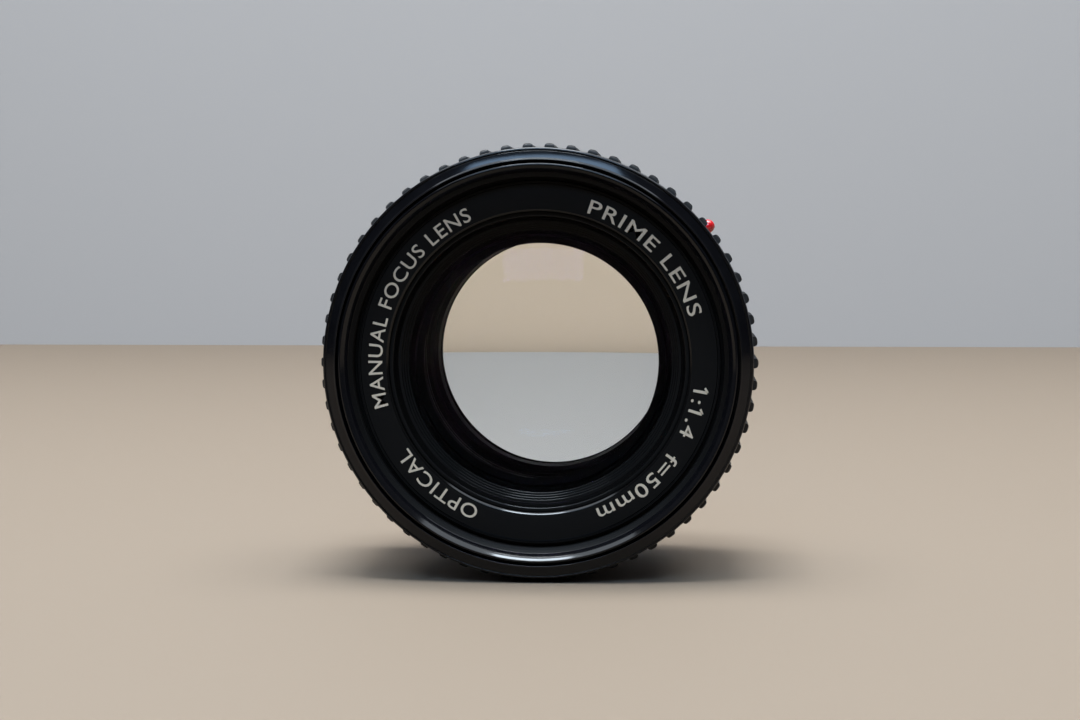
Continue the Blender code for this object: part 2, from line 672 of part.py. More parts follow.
def make_blades():
    drive_x, drive_y = polar(PIVOT_CIRCLE, DRIVE_PIN_DEG)
    for i in range(BLADES):
        back = BLADE_BACK + BLADE_PITCH * i
        front = back + BLADE_THICK
        angle = 360.0 / BLADES * i
        centre = polar(PIVOT_CIRCLE, angle)
        blade = plate(f"blade_{i + 1}", blade_outline(), back, front, "blade_steel", (), centre, angle)
        pivot = round_bar("pivot_pin", [(PIN_RADIUS, 16.3), (PIN_RADIUS, front - 0.03)], 8)
        combine(blade, pivot, "UNION", centre, angle)
        drive = round_bar("drive_pin", [(PIN_RADIUS, back + 0.03), (PIN_RADIUS, 19.05)], 8,
                          base=(drive_x - PIVOT_CIRCLE, drive_y, 0.0))
        combine(blade, drive, "UNION", centre, angle)


def make_housing():
    """The cup that carries the blade pivots, open at its side for the cam ring's fork."""
    outline = [(HOUSING_RADIUS, 20.9), (HOUSING_RADIUS, PLATE_BACK), (OPEN_RADIUS, PLATE_BACK),
               (OPEN_RADIUS, PLATE_FRONT), (HOUSING_BORE, PLATE_FRONT), (HOUSING_BORE, 20.9)]
    housing = turned("iris_housing", outline, "inner_black", INNER_STEPS)
    for i in range(BLADES):
        hole = round_bar("pivot_hole", [(PIN_HOLE_RADIUS, 15.9), (PIN_HOLE_RADIUS, 17.2)], 8)
        combine(housing, hole, "DIFFERENCE", polar(PIVOT_CIRCLE, 360.0 / BLADES * i))
    start = PRONG_ANGLE - 11.0
    end = PRONG_ANGLE + LEVER_TURN_DEG + 11.0
    sector = arc(21.5, start, end, 6) + arc(23.6, end, start, 6)
    combine(housing, plate_mesh("fork_window", sector, CAM_BACK - GAP, CAM_FRONT + GAP), "DIFFERENCE")


make_glass()
make_bayonet()
make_mount_screws()
make_rear_barrel()
make_outer_rings()
make_rear_cover()
make_click()
make_aperture_ring()
make_driver()
make_focus_ring()
make_grip()
make_head()
make_cells()
make_cam_ring()
make_blades()
make_housing()
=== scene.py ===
import json
import math

import bmesh
import bpy
from mathutils import Matrix, Vector


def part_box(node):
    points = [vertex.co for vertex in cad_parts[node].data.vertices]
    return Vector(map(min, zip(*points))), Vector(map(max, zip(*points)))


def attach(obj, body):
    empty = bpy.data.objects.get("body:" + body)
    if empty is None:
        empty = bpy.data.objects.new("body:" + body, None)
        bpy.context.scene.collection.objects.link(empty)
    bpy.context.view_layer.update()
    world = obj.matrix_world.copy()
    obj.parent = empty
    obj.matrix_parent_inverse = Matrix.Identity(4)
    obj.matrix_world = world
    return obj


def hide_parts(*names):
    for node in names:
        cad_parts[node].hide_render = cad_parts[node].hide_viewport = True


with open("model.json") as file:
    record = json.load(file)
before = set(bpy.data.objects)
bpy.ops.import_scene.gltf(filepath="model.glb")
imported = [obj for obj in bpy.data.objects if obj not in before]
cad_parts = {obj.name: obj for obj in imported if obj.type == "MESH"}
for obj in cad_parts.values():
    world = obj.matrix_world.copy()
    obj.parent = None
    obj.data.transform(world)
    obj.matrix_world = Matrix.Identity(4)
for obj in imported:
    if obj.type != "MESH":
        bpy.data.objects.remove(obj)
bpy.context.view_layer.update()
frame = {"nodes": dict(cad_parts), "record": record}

# Shapes are made in millimetres about the optical axis: z runs forward from the mounting flange,
# x is to the right and y is up. axisFrame takes them to the frame's own metres.
mm = 0.001
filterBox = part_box("filter_ring")
axisZ = (filterBox[0][2] + filterBox[1][2]) / 2
mountPoints = {mount["name"]: mount["pos_m"] for mount in frame["record"]["mounts"]}
flangeY = mountPoints["bayonet_flange"][1]
axisFrame = (Matrix.Translation((0, flangeY, axisZ)) @ Matrix.Rotation(math.radians(90), 4, "X")
             @ Matrix.Scale(mm, 4))
rimForward = (flangeY - mountPoints["front_rim"][1]) / mm
fineSteps = 192  # round the rings that show
innerSteps = 144  # round the ones inside
print("frame loaded, axis at", round(axisZ / mm, 2), "mm")


def polar(radius, degrees):
    angle = math.radians(degrees)
    return (radius * math.cos(angle), radius * math.sin(angle))


class Flow:  # a shader socket that sums can be written with
    def __init__(self, finish, socket):
        self.finish = finish
        self.socket = socket

    def reckon(self, operation, first, second):
        return self.finish.node("ShaderNodeMath", {"operation": operation}, {0: first, 1: second})

    def __add__(self, other):
        return self.reckon("ADD", self, other)

    def __radd__(self, other):
        return self.reckon("ADD", other, self)

    def __sub__(self, other):
        return self.reckon("SUBTRACT", self, other)

    def __rsub__(self, other):
        return self.reckon("SUBTRACT", other, self)

    def __mul__(self, other):
        return self.reckon("MULTIPLY", self, other)

    def __rmul__(self, other):
        return self.reckon("MULTIPLY", other, self)

    def __pow__(self, other):
        return self.reckon("POWER", self, other)


class Finish:  # one material and its nodes
    def __init__(self, name):
        self.material = bpy.data.materials.new(name)
        self.material.use_nodes = True
        self.tree = self.material.node_tree
        self.shader = self.tree.nodes["Principled BSDF"]
        self.output = self.tree.nodes["Material Output"]

    def node(self, kind, settings=None, inputs=None, out=0):
        made = self.tree.nodes.new(kind)
        for key, value in (settings or {}).items():
            if key == "stops":
                ramp = made.color_ramp.elements
                while len(ramp) < len(value):
                    ramp.new(0.5)
                for stop, (place, color) in zip(ramp, value):
                    stop.position = place
                    stop.color = (*color, 1)
            else:
                setattr(made, key, value)
        for key, value in (inputs or {}).items():
            self.feed(made.inputs[key], value)
        return Flow(self, made.outputs[out])

    def feed(self, socket, value):
        if isinstance(value, Flow):
            self.tree.links.new(value.socket, socket)
        elif isinstance(value, tuple) and len(value) == 3 and socket.type == "RGBA":
            socket.default_value = (*value, 1)
        else:
            socket.default_value = value

    def set(self, **values):  # sockets of the main shader, spaces written as underscores
        for key, value in values.items():
            self.feed(self.shader.inputs[key.replace("_", " ")], value)

    def blendColor(self, factor, first, second):
        return self.node("ShaderNodeMix", {"data_type": "RGBA"}, {0: factor, 6: first, 7: second}, 2)

    def place(self):  # millimetres about the optical axis
        coordinates = self.node("ShaderNodeTexCoord", out=3)
        return self.node("ShaderNodeMapping", {"vector_type": "POINT"},
                         {"Vector": coordinates, "Scale": (1 / mm, 1 / mm, 1 / mm),
                          "Location": (0, -flangeY / mm, -axisZ / mm)})

    def noise(self, vector, scale, detail=3.0):
        return self.node("ShaderNodeTexNoise", {}, {"Vector": vector, "Scale": scale, "Detail": detail})

    def around(self):  # radius, angle along the rim and forward place, for turned parts
        split = self.tree.nodes.new("ShaderNodeSeparateXYZ")
        self.feed(split.inputs[0], self.place())
        x, y, z = (Flow(self, socket) for socket in split.outputs)
        radius = (x * x + z * z) ** 0.5
        angle = self.node("ShaderNodeMath", {"operation": "ARCTAN2"}, {0: x, 1: z})
        return radius, angle, y

    def turningMarks(self, scale=14.0):  # fine rings left by the lathe
        radius, angle, forward = self.around()
        lines = self.node("ShaderNodeCombineXYZ", {}, {0: radius, 1: angle * 0.6, 2: forward})
        return self.noise(lines, scale, 2.0)

    def bump(self, height, strength, distance=0.00002):
        self.set(Normal=self.node("ShaderNodeBump", {}, {"Strength": strength, "Distance": distance,
                                                         "Height": height}))

    def specks(self, scale, amount):  # sparse points of dust
        cells = self.node("ShaderNodeTexVoronoi", {}, {"Vector": self.place(), "Scale": scale})
        patches = self.noise(self.place(), 0.35)
        size = (patches - (1.0 - amount)) * 0.6
        return self.node("ShaderNodeMath", {"operation": "LESS_THAN"}, {0: cells, 1: size})


def blackEnamel():
    look = {"deep": (0.0022, 0.0022, 0.003), "thin": (0.005, 0.005, 0.006), "dust": (0.3, 0.29, 0.28)}
    finish = Finish("blackEnamel")
    marks = finish.turningMarks()
    clouds = finish.noise(finish.place(), 0.5)
    dust = finish.specks(1.3, 0.36)
    color = finish.blendColor(clouds, look["deep"], look["thin"])
    finish.set(Base_Color=finish.blendColor(dust, color, look["dust"]),
               Roughness=0.05 + marks * 0.06 + clouds * 0.05 + dust * 0.4, Specular_IOR_Level=0.3)
    finish.bump(marks, 0.05)
    return finish.material


def mattBlack():
    look = {"deep": (0.0018, 0.0018, 0.002), "worn": (0.005, 0.0048, 0.0045)}
    finish = Finish("mattBlack")
    marks = finish.turningMarks(9.0)
    grain = finish.noise(finish.place(), 9.0)
    finish.set(Base_Color=finish.blendColor(marks * 0.5 + grain * 0.4, look["deep"], look["worn"]),
               Roughness=0.45 + grain * 0.2, Specular_IOR_Level=0.1)
    finish.bump(grain * 0.6 + marks * 0.4, 0.15, 0.00002)
    return finish.material


def satinBlack():
    look = {"deep": (0.0018, 0.0018, 0.002), "worn": (0.004, 0.0039, 0.0037)}
    finish = Finish("satinBlack")
    marks = finish.turningMarks(12.0)
    grain = finish.noise(finish.place(), 4.0)
    finish.set(Base_Color=finish.blendColor(grain, look["deep"], look["worn"]),
               Roughness=0.06 + marks * 0.06 + grain * 0.04, Specular_IOR_Level=0.3)
    finish.bump(marks, 0.08)
    return finish.material


def gripRubber():
    look = {"deep": (0.005, 0.005, 0.0055), "bloom": (0.016, 0.0157, 0.0155), "dust": (0.2, 0.19, 0.18)}
    finish = Finish("gripRubber")
    radius, angle, forward = finish.around()
    grain = finish.noise(finish.place(), 7.0, 5.0)
    clouds = finish.noise(finish.place(), 0.25)
    valley = finish.node("ShaderNodeMapRange", {}, {0: radius, 1: 31.35, 2: 31.8, 3: 0.7, 4: 0.0})
    color = finish.blendColor(clouds * 0.5 + valley * 0.6, look["deep"], look["bloom"])
    dust = finish.specks(2.2, 0.4)
    finish.set(Base_Color=finish.blendColor(dust * 0.7, color, look["dust"]),
               Roughness=0.4 + grain * 0.25, Specular_IOR_Level=0.28)
    finish.bump(grain, 0.35, 0.00004)
    return finish.material


def satinChrome():
    look = {"bright": (0.74, 0.73, 0.71), "dull": (0.5, 0.49, 0.47)}
    finish = Finish("satinChrome")
    marks = finish.turningMarks(22.0)
    rub = finish.noise(finish.place(), 0.6, 4.0)
    finish.set(Base_Color=finish.blendColor(rub * 0.6, look["bright"], look["dull"]), Metallic=1.0,
               Roughness=0.14 + marks * 0.2 + rub * 0.12)
    finish.bump(marks, 0.2)
    return finish.material


def plainSteel():
    look = {"bright": (0.56, 0.56, 0.57), "dark": (0.3, 0.3, 0.31)}
    finish = Finish("plainSteel")
    streaks = finish.noise(finish.place(), 5.0, 5.0)
    finish.set(Base_Color=finish.blendColor(streaks, look["bright"], look["dark"]), Metallic=1.0,
               Roughness=0.22 + streaks * 0.22)
    finish.bump(streaks, 0.1)
    return finish.material


def cutBrass():
    look = {"bright": (0.66, 0.48, 0.2), "greased": (0.3, 0.2, 0.07)}
    finish = Finish("cutBrass")
    marks = finish.turningMarks(10.0)
    grease = finish.noise(finish.place(), 0.8)
    finish.set(Base_Color=finish.blendColor(grease, look["bright"], look["greased"]), Metallic=1.0,
               Roughness=0.2 + marks * 0.25)
    finish.bump(marks, 0.3)
    return finish.material


def bluedSteel():
    look = {"blue": (0.03, 0.032, 0.045), "brown": (0.05, 0.042, 0.036)}
    finish = Finish("bluedSteel")
    temper = finish.noise(finish.place(), 0.4, 2.0)
    brush = finish.noise(finish.place(), 12.0, 3.0)
    finish.set(Base_Color=finish.blendColor(temper, look["blue"], look["brown"]), Metallic=0.85,
               Roughness=0.3 + brush * 0.2)
    finish.bump(brush, 0.08)
    return finish.material


def markPaint(name, color):  # paint laid into engraved figures, a little uneven
    finish = Finish(name)
    wear = finish.noise(finish.place(), 3.0, 5.0)
    worn = tuple(channel * 0.72 for channel in color)
    finish.set(Base_Color=finish.blendColor(wear, color, worn), Roughness=0.5 + wear * 0.2)
    return finish.material


def indexRed():
    look = {"red": (0.62, 0.008, 0.012), "deep": (0.3, 0.004, 0.006)}
    finish = Finish("indexRed")
    clouds = finish.noise(finish.place(), 1.5)
    finish.set(Base_Color=finish.blendColor(clouds * 0.6, look["red"], look["deep"]),
               Roughness=0.16 + clouds * 0.2, Coat_Weight=0.4)
    return finish.material


def coatedGlass(name, index, sheen):  # bends light, with the faint tinted shine of its coating
    finish = Finish(name)
    finish.tree.nodes.remove(finish.shader)
    smear = finish.noise(finish.place(), 0.2, 3.0)
    clear = finish.node("ShaderNodeBsdfRefraction", {}, {"Color": (0.997, 0.997, 0.993), "IOR": index,
                                                         "Roughness": 0.0})
    shine = finish.node("ShaderNodeBsdfGlossy", {}, {"Color": sheen, "Roughness": 0.02})
    edge = finish.node("ShaderNodeFresnel", {}, {"IOR": 1.5})
    edge = finish.node("ShaderNodeMath", {"operation": "MINIMUM"}, {0: edge, 1: 0.4})
    both = finish.node("ShaderNodeMixShader", {}, {0: edge * (0.08 + smear * 0.05), 1: clear, 2: shine})
    finish.feed(finish.output.inputs["Surface"], both)
    return finish.material


finishes = {
    "enamel": blackEnamel(),
    "matt": mattBlack(),
    "satin": satinBlack(),
    "rubber": gripRubber(),
    "chrome": satinChrome(),
    "steel": plainSteel(),
    "brass": cutBrass(),
    "blued": bluedSteel(),
    "white": markPaint("whiteFigures", (0.64, 0.56, 0.44)),
    "amber": markPaint("amberFigures", (0.75, 0.3, 0.03)),
    "green": markPaint("greenFigures", (0.06, 0.42, 0.12)),
    "redPaint": markPaint("redFigures", (0.6, 0.02, 0.02)),
    "red": indexRed(),
}
print("finishes made")


def turn(outline, steps=fineSteps, closed=True):
    # each outline point is (radius, forward) or (radius, forward, rounding)
    bm = bmesh.new()
    verts = [bm.verts.new((point[0], 0, point[1])) for point in outline]
    ends = verts[1:] + verts[:1] if closed else verts[1:]
    for first, second in zip(verts, ends):
        bm.edges.new((first, second))
    roundings = {point[2] for point in outline if len(point) > 2}
    for rounding in sorted(roundings):
        corners = [vert for vert, point in zip(verts, outline) if len(point) > 2 and point[2] == rounding]
        bmesh.ops.bevel(bm, geom=corners, offset=rounding, offset_type="OFFSET", segments=3, profile=0.5,
                        affect="VERTICES", material=-1)
    bmesh.ops.spin(bm, geom=bm.verts[:] + bm.edges[:], cent=(0, 0, 0), axis=(0, 0, 1),
                   angle=2 * math.pi, steps=steps, use_merge=True)
    bmesh.ops.remove_doubles(bm, verts=bm.verts[:], dist=0.0005)
    bmesh.ops.recalc_face_normals(bm, faces=bm.faces[:])
    return bm


def sector(inner, outer, back, front, start, end, steps, rounding):  # part of a flat ring
    bm = bmesh.new()
    corners = [bm.verts.new((*polar(r, start), s)) for r, s in
               ((outer, front), (outer, back), (inner, back), (inner, front))]
    face = bm.faces.new(corners)
    bmesh.ops.spin(bm, geom=[face], cent=(0, 0, 0), axis=(0, 0, 1), angle=math.radians(end - start),
                   steps=steps)
    bmesh.ops.remove_doubles(bm, verts=bm.verts[:], dist=0.0001)
    bmesh.ops.recalc_face_normals(bm, faces=bm.faces[:])
    roundEdges(bm, rounding)
    return bm


def bevelEdges(bm, edges, width, segments):
    bmesh.ops.bevel(bm, geom=edges, offset=width, offset_type="OFFSET", segments=segments, profile=0.5,
                    affect="EDGES", material=-1, clamp_overlap=True)


def roundEdges(bm, width, segments=2):  # eases every edge that turns by more than 40 degrees
    sharp = [edge for edge in bm.edges
             if edge.is_manifold and edge.calc_face_angle(0) > math.radians(40)]
    bevelEdges(bm, sharp, width, segments)


def roundTop(bm, radius, width, segments):  # eases only the edges that lie outside a radius
    top = [edge for edge in bm.edges if all(vert.co.x > radius for vert in edge.verts)]
    bevelEdges(bm, top, width, segments)


def toMesh(bm, name="shape"):
    mesh = bpy.data.meshes.new(name)
    bm.to_mesh(mesh)
    bm.free()
    return mesh


def scatter(bm, source, matrices):  # adds copies of one bmesh at many places
    mesh = toMesh(source)
    for matrix in matrices:
        copy = mesh.copy()
        copy.transform(matrix)
        bm.from_mesh(copy)
        bpy.data.meshes.remove(copy)
    bpy.data.meshes.remove(mesh)


def spun(degrees):
    return Matrix.Rotation(math.radians(degrees), 4, "Z")


def standing(radius, degrees, forward):  # puts a shape's z along the radius, at a radius and angle
    return (spun(degrees) @ Matrix.Translation((radius, 0, forward))
            @ Matrix.Rotation(math.radians(90), 4, "Y"))


def carve(bm, cutters, operation="DIFFERENCE"):
    body = bpy.data.objects.new("work", toMesh(bm))
    bpy.context.collection.objects.link(body)
    helpers = []
    for cutter in cutters:
        helper = bpy.data.objects.new("cutter", toMesh(cutter))
        bpy.context.collection.objects.link(helper)
        change = body.modifiers.new("cut", "BOOLEAN")
        change.operation = operation
        change.solver = "EXACT"
        change.object = helper
        helpers.append(helper)
    bpy.context.view_layer.update()
    mesh = bpy.data.meshes.new_from_object(body.evaluated_get(bpy.context.evaluated_depsgraph_get()))
    result = bmesh.new()
    result.from_mesh(mesh)
    for helper in [body, *helpers]:
        bpy.data.objects.remove(helper)
    return result


def peg(radius, back, front, segments=24):
    bm = bmesh.new()
    bmesh.ops.create_cone(bm, cap_ends=True, segments=segments, radius1=radius, radius2=radius,
                          depth=front - back)
    bmesh.ops.translate(bm, verts=bm.verts[:], vec=(0, 0, (front + back) / 2))
    return bm


def brick(width, depth, height, centre=(0, 0, 0)):
    bm = bmesh.new()
    bmesh.ops.create_cube(bm, size=1)
    bmesh.ops.scale(bm, verts=bm.verts[:], vec=(width, depth, height))
    bmesh.ops.translate(bm, verts=bm.verts[:], vec=centre)
    return bm


def finishPiece(name, bm, body, looks, nodes=(), smooth=35):
    bm.transform(axisFrame)
    mesh = toMesh(bm, name)
    for look in looks if isinstance(looks, (list, tuple)) else [looks]:
        mesh.materials.append(finishes[look] if isinstance(look, str) else look)
    mesh.shade_smooth()
    mesh.set_sharp_from_angle(angle=math.radians(smooth))
    piece = bpy.data.objects.new(name, mesh)
    bpy.context.collection.objects.link(piece)
    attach(piece, body)
    if nodes:
        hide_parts(*nodes)


markDepth = 0.06  # figures and lines stand half in the metal


def plainGlyphs(text, height, spacing):
    capShare = 0.729  # of the built-in font's size
    curve = bpy.data.curves.new("glyphs", "FONT")
    curve.body = text
    curve.size = height / capShare
    curve.align_x = "CENTER"
    curve.space_character = spacing
    curve.offset = height * 0.006
    curve.extrude = markDepth / 2
    curve.resolution_u = 4
    holder = bpy.data.objects.new("glyphs", curve)
    bpy.context.collection.objects.link(holder)
    bpy.context.view_layer.update()
    mesh = bpy.data.meshes.new_from_object(holder.evaluated_get(bpy.context.evaluated_depsgraph_get()))
    bpy.data.objects.remove(holder)
    bm = bmesh.new()
    bm.from_mesh(mesh)
    bmesh.ops.scale(bm, verts=bm.verts[:], vec=(1.14, 1, 1))
    bmesh.ops.remove_doubles(bm, verts=bm.verts[:], dist=0.0005)
    return bm


def textWidth(bm):
    across = [vert.co.x for vert in bm.verts]
    bm.free()
    return max(across) - min(across)


def glyphs(text, height, spacing=1.0):
    bm = plainGlyphs(text, height, spacing)
    start = min(vert.co.x for vert in bm.verts)
    flags = []
    for place, letter in enumerate(text):  # the font's figure one is a bare stroke
        if letter == "1" and len(text) > 1:
            right = start + textWidth(plainGlyphs(text[:place + 1], height, spacing))
            flag = brick(height * 0.13, height * 0.34, markDepth)
            flag.transform(Matrix.Rotation(math.radians(-48), 4, "Z"))
            bmesh.ops.translate(flag, verts=flag.verts[:], vec=(right - height * 0.22, height * 0.86, 0))
            flags.append(flag)
    return gather([bm, *flags])


def bendOnFace(bm, radius, degrees, forward):  # tops outward, read clockwise from the front
    for vert in bm.verts:
        u, v, w = vert.co
        x, y = polar(radius + v, degrees - math.degrees(u / radius))
        vert.co = (x, y, forward + w)
    return bm


def bendOnBarrel(bm, radius, degrees, forward):  # tops forward, read from behind the camera
    for vert in bm.verts:
        u, v, w = vert.co
        x, y = polar(radius + w, degrees + math.degrees(u / radius))
        vert.co = (x, y, forward + v)
    return bm


def gather(parts):
    bm = bmesh.new()
    for part in parts:
        mesh = toMesh(part)
        bm.from_mesh(mesh)
        bpy.data.meshes.remove(mesh)
    return bm


prescription = [  # radii of the faces, thickness, rim, clear radii, gap behind, index, coating
    {"nodes": ["glass_1"], "front": 42.7, "back": 173, "thick": 4.9, "rim": 20.3, "gap": 0.3,
     "index": 1.788, "sheen": (0.75, 0.45, 1.0)},
    {"nodes": ["glass_2"], "front": 26.2, "back": 41.7, "thick": 4.4, "rim": 18.0, "gap": 1.7,
     "index": 1.788, "sheen": (1.0, 0.62, 0.3)},
    {"nodes": ["glass_3"], "front": 53.6, "back": 18.5, "thick": 1.4, "rim": 16.5, "gap": 14.9,
     "index": 1.728, "sheen": (0.45, 1.0, 0.7), "backClear": 13.6},
    {"nodes": ["glass_4", "glass_5"], "front": -19.3, "back": -33.2, "thick": 8.3, "rim": 15.9,
     "gap": 0.3, "index": 1.787, "sheen": (0.5, 0.6, 1.0), "frontClear": 12.9},
    {"nodes": ["glass_6"], "front": -90, "back": -32, "thick": 4.2, "rim": 16.3, "gap": 0.3,
     "index": 1.788, "sheen": (1.0, 0.7, 0.4)},
    {"nodes": ["glass_7"], "front": 90, "back": -240, "thick": 3.0, "rim": 16.3, "gap": 0.0,
     "index": 1.744, "sheen": (0.6, 0.45, 1.0)},
]
frontVertex = 38.2
faceRings = 28
rimChamfer = 1.3


def outFromAxis(face):
    centre = face.calc_center_median()
    return math.hypot(centre.x, centre.y)


def facePoints(vertex, radius, clear, rim):  # one lens surface, from the axis out
    points = []
    for i in range(faceRings + 1):
        r = clear * i / faceRings
        points.append((r, vertex - r * r / radius / (1 + math.sqrt(1 - (r / radius) ** 2))))
    if clear < rim:
        chamfer = rimChamfer if radius > 0 else -rimChamfer
        points.append((rim - rimChamfer, points[-1][1]))
        points.append((rim, points[-1][1] + chamfer))
    return points


def makeGlass():
    vertex = frontVertex
    for number, element in enumerate(prescription, 1):
        rim = element["rim"]
        frontClear = element.get("frontClear", rim)
        backClear = element.get("backClear", rim)
        front = facePoints(vertex, element["front"], frontClear, rim)
        vertex -= element["thick"]
        back = facePoints(vertex, element["back"], backClear, rim)
        bm = turn(front + back[::-1], innerSteps, closed=False)
        for face in bm.faces:  # the rim and the flats are inked black
            clear = frontClear if face.normal.z > 0 else backClear
            onRim = outFromAxis(face) > min(clear, rim - 0.01) - 0.02
            face.material_index = 1 if onRim else 0
        look = coatedGlass(f"coatedGlass{number}", element["index"], element["sheen"])
        finishPiece(f"glassElement{number}", bm, "lens_head", [look, "matt"],
                    element["nodes"], smooth=30)
        vertex -= element["gap"]


makeGlass()
print("glass made")


filterRing = {"outer": 29.2, "thread": 27.5, "threadDepth": 0.45, "pitch": 0.75,
              "threadTop": 40.6, "threadEnd": 38.85, "seat": 38.6}


def makeFilterRing():
    size = filterRing
    front = rimForward - 0.002
    outline = [(28.68, front), (28.95, front - 0.02, 0.24), (28.95, front - 0.7, 0.05),
               (size["outer"], front - 0.95, 0.08), (size["outer"], 37.7, 0.1),
               (26.0, 37.7), (26.0, 35.9), (23.0, 35.9), (23.0, 37.6), (26.95, 37.6, 0.1),
               (27.0, size["seat"] + 0.15)]
    height = size["threadEnd"]
    root = size["thread"]
    crest = root - size["threadDepth"]
    while height + size["pitch"] <= size["threadTop"] + 0.01:
        outline += [(crest, height), (crest, height + 0.115), (root, height + 0.375), (root, height + 0.49)]
        height += size["pitch"]
    outline += [(crest, height), (crest, height + 0.1), (27.62, height + 0.4), (27.78, front - 0.96, 0.1),
                (28.2, front - 0.46, 0.2), (28.64, front - 0.08, 0.12)]
    bm = turn(outline)
    for face in bm.faces:  # the threads are dull
        behindLip = face.calc_center_median().z < front - 0.9
        face.material_index = 1 if behindLip and outFromAxis(face) < size["thread"] + 0.09 else 0
    finishPiece("filterRingFine", bm, "lens_head", ["enamel", "matt"], ["filter_ring"])


nameRing = {"inner": 22.0, "outer": 26.5, "back": 37.9, "front": 38.6, "letters": 22.88, "cap": 2.16,
            "lines": [("PRIME LENS", 45.5, 55.0), ("1:1.4", 107.5, 18.5), ("f=50mm", 141.5, 34.0),
                      ("OPTICAL", 219.5, 34.5), ("MANUAL FOCUS LENS", 294.5, 81.0)]}


def fitText(text, cap, radius, span):  # widens and spaces the letters to fill a span of degrees
    wanted = math.radians(span) * radius
    plain = textWidth(glyphs(text, cap))
    spaced = textWidth(glyphs(text, cap, 1.1))
    stretch = min(1.3, wanted / spaced)
    spacing = 1 + 0.1 * (wanted / stretch - plain) / (spaced - plain)
    bm = glyphs(text, cap, spacing)
    across = [vert.co.x for vert in bm.verts]
    bmesh.ops.translate(bm, verts=bm.verts[:], vec=(-(max(across) + min(across)) / 2, 0, 0))
    bmesh.ops.scale(bm, verts=bm.verts[:], vec=(stretch, 1, 1))
    return bm


def makeNameRing():
    size = nameRing
    outline = [(size["outer"], size["front"], 0.08), (size["outer"], size["back"]),
               (size["inner"], size["back"]), (size["inner"], size["front"] - 0.25),
               (size["inner"] + 0.25, size["front"], 0.06), (size["outer"] - 0.5, size["front"]),
               (size["outer"] - 0.4, size["front"] - 0.1), (size["outer"] - 0.25, size["front"] - 0.1),
               (size["outer"] - 0.2, size["front"])]
    bm = turn(outline)
    for face in bm.faces:  # the face under the lettering is duller than its edges
        face.material_index = 1 if face.normal.z > 0.99 else 0
    finishPiece("nameRingFine", bm, "lens_head", ["satin", "matt"], ["name_ring"])
    lines = []
    for text, clock, span in size["lines"]:
        middle = size["letters"] + size["cap"] / 2
        bm = fitText(text, size["cap"], middle, span)
        bmesh.ops.translate(bm, verts=bm.verts[:], vec=(0, -size["cap"] / 2, 0))
        lines.append(bendOnFace(bm, middle, 90 - clock, size["front"]))
    finishPiece("nameRingLetters", gather(lines), "lens_head", "white", smooth=20)


retainerSteps = {"inner": 19.35, "run": 0.31, "bottom": 34.3, "rise": 0.5, "count": 4}


def makeRetainer():
    steps = retainerSteps
    outline = [(21.95, 37.75, 0.05), (21.95, 34.4), (20.35, 34.4), (20.35, 33.5), (19.5, 33.9)]
    for i in range(steps["count"]):
        r = steps["inner"] + steps["run"] * i
        s = steps["bottom"] + steps["rise"] * i
        outline += [(r, s), (r, s + steps["rise"], 0.14)]
    outline += [(20.75, 36.3), (21.0, 36.55), (21.35, 37.75, 0.12)]
    bm = turn(outline)
    for face in bm.faces:  # the steps are dull and their edges catch the light
        face.material_index = 1 if face.normal.z > 0.9 else 0
    finishPiece("frontRetainerFine", bm, "lens_head", ["satin", "matt"], ["front_retainer"])


cells = {
    "frontCellFine": ("front_cell", [(22.6, 34.0), (22.6, 29.6), (24.1, 29.6), (24.1, 28.3),
                                     (21.9, 28.3), (21.9, 19.4), (15.5, 19.4, 0.1), (16.8, 20.7),
                                     (16.8, 24.2), (18.3, 24.2), (18.3, 31.8), (20.6, 31.8),
                                     (20.6, 34.0)]),
    "frontSpacerFine": ("front_spacer", [(18.0, 32.0), (18.0, 26.2), (16.9, 27.2), (16.9, 32.0)]),
    "irisHousingFine": ("iris_housing", [(23.0, 20.9), (23.0, 16.2), (13.2, 16.2, 0.15),
                                         (13.2, 16.9, 0.15), (22.2, 16.9), (22.2, 20.9)]),
    "middleSpacerFine": ("middle_spacer", [(16.0, 6.1), (16.0, 3.8), (15.3, 3.8), (15.3, 5.7)]),
    "rearSpacerFine": ("rear_spacer", [(16.3, 1.95), (16.3, -3.6), (15.4, -3.6), (15.4, 1.4)]),
}


def makeCells():
    for name, (node, outline) in cells.items():
        finishPiece(name, turn(outline, innerSteps), "lens_head", "matt", [node])
    outline = [(22.6, 15.7), (22.6, 14.3), (18.0, 14.3), (18.0, -1.4, 0.1)]
    for i in range(5):  # fine rings cut round the rear of the cell against stray light
        s = -1.6 - 0.8 * i
        outline += [(17.75, s, 0.05), (17.75, s - 0.35, 0.05), (18.0, s - 0.4, 0.05), (18.0, s - 0.75, 0.05)]
    outline += [(17.7, -6.09, 0.2), (16.6, -6.09, 0.1), (16.6, 3.9), (16.3, 3.9), (16.3, 7.7), (15.8, 7.7),
                (15.8, 14.5), (14.55, 15.7, 0.1)]
    finishPiece("rearCellFine", turn(outline), "lens_head", "matt", ["rear_cell"])


def makeRearRetainer():
    ring = turn([(16.3, -5.3), (16.3, -6.09, 0.1), (15.2, -6.09, 0.1), (14.9, -5.75, 0.08), (14.9, -5.3)])
    notches = []
    for side in (20, 200):
        notch = brick(1.6, 1.1, 0.9, (15.9, 0, -6.0))
        notch.transform(spun(side))
        notches.append(notch)
    finishPiece("rearRetainerFine", carve(ring, notches), "lens_head", "matt",
                ["rear_retainer"])


makeFilterRing()
makeNameRing()
makeRetainer()
makeCells()
makeRearRetainer()
print("lens head made")


focusRing = {"scaleRadius": 31.3, "back": 18.0, "gripBack": 23.5, "gripFront": 38.6, "seat": 30.7,
             "nose": 31.2}


